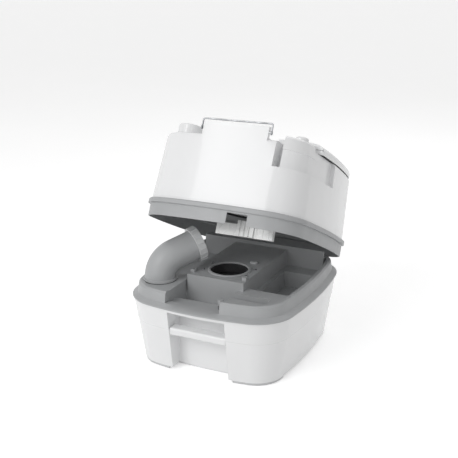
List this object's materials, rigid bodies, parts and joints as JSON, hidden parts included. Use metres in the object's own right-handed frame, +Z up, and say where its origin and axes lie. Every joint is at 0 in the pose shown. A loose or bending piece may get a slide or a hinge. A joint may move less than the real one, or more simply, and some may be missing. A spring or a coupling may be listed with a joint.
{
  "type": "cassette toilet",
  "caption": "Portable two-tank toilet: waste tank with spout, slide valve and carry handle below a tilting flush tank with bowl, seat, lid and pump.",
  "frame": {"origin": "on the floor, under the middle of the waste tank's plan", "axes": "+Z up; +X towards the pump side; -Y towards the carry handle; +Y towards the valve pull"},
  "size_m": [0.383, 0.5222, 0.5143],
  "materials": {
    "white_gloss": "smooth moulded gloss",
    "grey_plastic": "fine satin moulded texture",
    "light_grey_plastic": "satin moulded",
    "latch_plastic": "satin, slightly translucent",
    "black_plastic": "smooth satin",
    "black_rubber": "matt moulded rubber",
    "soft_grey_rubber": "soft matt rubber",
    "steel": "bright drawn wire and pin stock",
    "clear_window": "clear moulded window"
  },
  "bodies": {
    "waste_tank_body": {"waste_tank": "white_gloss", "carry_handle": "white_gloss", "tank_feet": "light_grey_plastic", "tank_deck": "grey_plastic", "valve_ring": "grey_plastic", "valve_lip_seal": "black_rubber", "valve_guide": "grey_plastic", "valve_screws": "steel", "spout_seal": "black_rubber", "spout_retaining_clip": "latch_plastic", "relief_valve": "grey_plastic", "level_window": "clear_window", "float_bracket": "light_grey_plastic", "vent_spring": "steel"},
    "valve_body": {"valve_blade": "black_plastic", "valve_pull": "black_plastic"},
    "spout_body": {"spout_elbow": "grey_plastic"},
    "spout_cap_body": {"spout_cap": "light_grey_plastic", "spout_cap_gasket": "black_rubber"},
    "vent_body": {"vent_button": "grey_plastic"},
    "float_body": {"float_arm": "light_grey_plastic", "level_float": "light_grey_plastic"},
    "flush_tank_body": {"flush_base": "grey_plastic", "flush_tank": "white_gloss", "bowl": "white_gloss", "bowl_outlet_seal": "black_rubber", "hinge_pins": "steel", "seat_buffers": "soft_grey_rubber", "fill_cap_seal": "black_rubber", "pump_bush": "light_grey_plastic", "pump_cylinder": "light_grey_plastic", "pump_spring": "steel"},
    "seat_body": {"seat": "white_gloss"},
    "lid_body": {"lid": "white_gloss", "lid_buffers": "soft_grey_rubber"},
    "fill_cap_body": {"fill_cap": "white_gloss"},
    "pump_body": {"pump_knob": "white_gloss", "pump_plunger": "light_grey_plastic"},
    "bail_body": {"bail_handle": "steel"},
    "latch_body": {"release_latch": "latch_plastic"}
  },
  "joints": [
    {"name": "flush_tank_tilt", "type": "hinge", "parent": "waste_tank_body", "child": "flush_tank_body", "pos_m": [0, 0.208, 0.0911], "axis": [1, 0, 0], "range_deg": [-20, 25.22]},
    {"name": "valve_blade_slide", "type": "slide", "parent": "waste_tank_body", "child": "valve_body", "axis": [0, 1, 0], "range_m": [0, 0.092]},
    {"name": "spout_swivel", "type": "hinge", "parent": "waste_tank_body", "child": "spout_body", "pos_m": [-0.125, -0.127, 0.176], "axis": [0, 0, 1], "range_deg": [-150, 0]},
    {"name": "spout_cap_turn", "type": "hinge", "parent": "spout_body", "child": "spout_cap_body", "pos_m": [-0.06822, -0.05934, 0.24457], "axis": [0.6113, 0.7286, 0.309], "range_deg": [0, 180]},
    {"name": "vent_button_press", "type": "slide", "parent": "waste_tank_body", "child": "vent_body", "axis": [0, 0, 1], "range_m": [-0.004, 0], "stiffness_N_per_m": 300, "springref_m": 0.004, "deforming": ["vent_spring"]},
    {"name": "level_float_swing", "type": "hinge", "parent": "waste_tank_body", "child": "float_body", "pos_m": [0.078, 0.17, 0.122], "axis": [1, 0, 0], "range_deg": [-75, 0]},
    {"name": "seat_hinge", "type": "hinge", "parent": "flush_tank_body", "child": "seat_body", "pos_m": [0, 0.04611, 0.4491], "axis": [-1, 0, 0], "range_deg": [-95, 0]},
    {"name": "lid_hinge", "type": "hinge", "parent": "seat_body", "child": "lid_body", "pos_m": [0, 0.04611, 0.4491], "axis": [1, 0, 0], "range_deg": [0, 105]},
    {"name": "fill_cap_turn", "type": "hinge", "parent": "flush_tank_body", "child": "fill_cap_body", "pos_m": [-0.111, -0.0095, 0.47419], "axis": [0, 0.4261, 0.9047], "range_deg": [0, 90]},
    {"name": "pump_stroke", "type": "slide", "parent": "flush_tank_body", "child": "pump_body", "axis": [0, -0.4261, -0.9047], "range_m": [0, 0.011], "stiffness_N_per_m": 250, "springref_m": -0.008},
    {"name": "bail_swing", "type": "hinge", "parent": "flush_tank_body", "child": "bail_body", "pos_m": [0, -0.04265, 0.49533], "axis": [1, 0, 0], "range_deg": [-100, 100]},
    {"name": "latch_press", "type": "hinge", "parent": "flush_tank_body", "child": "latch_body", "pos_m": [0, -0.06874, 0.31087], "axis": [1, 0, 0], "range_deg": [-8, 0], "stiffness_Nm_per_rad": 0.6, "springref_deg": 17.19}
  ]
}
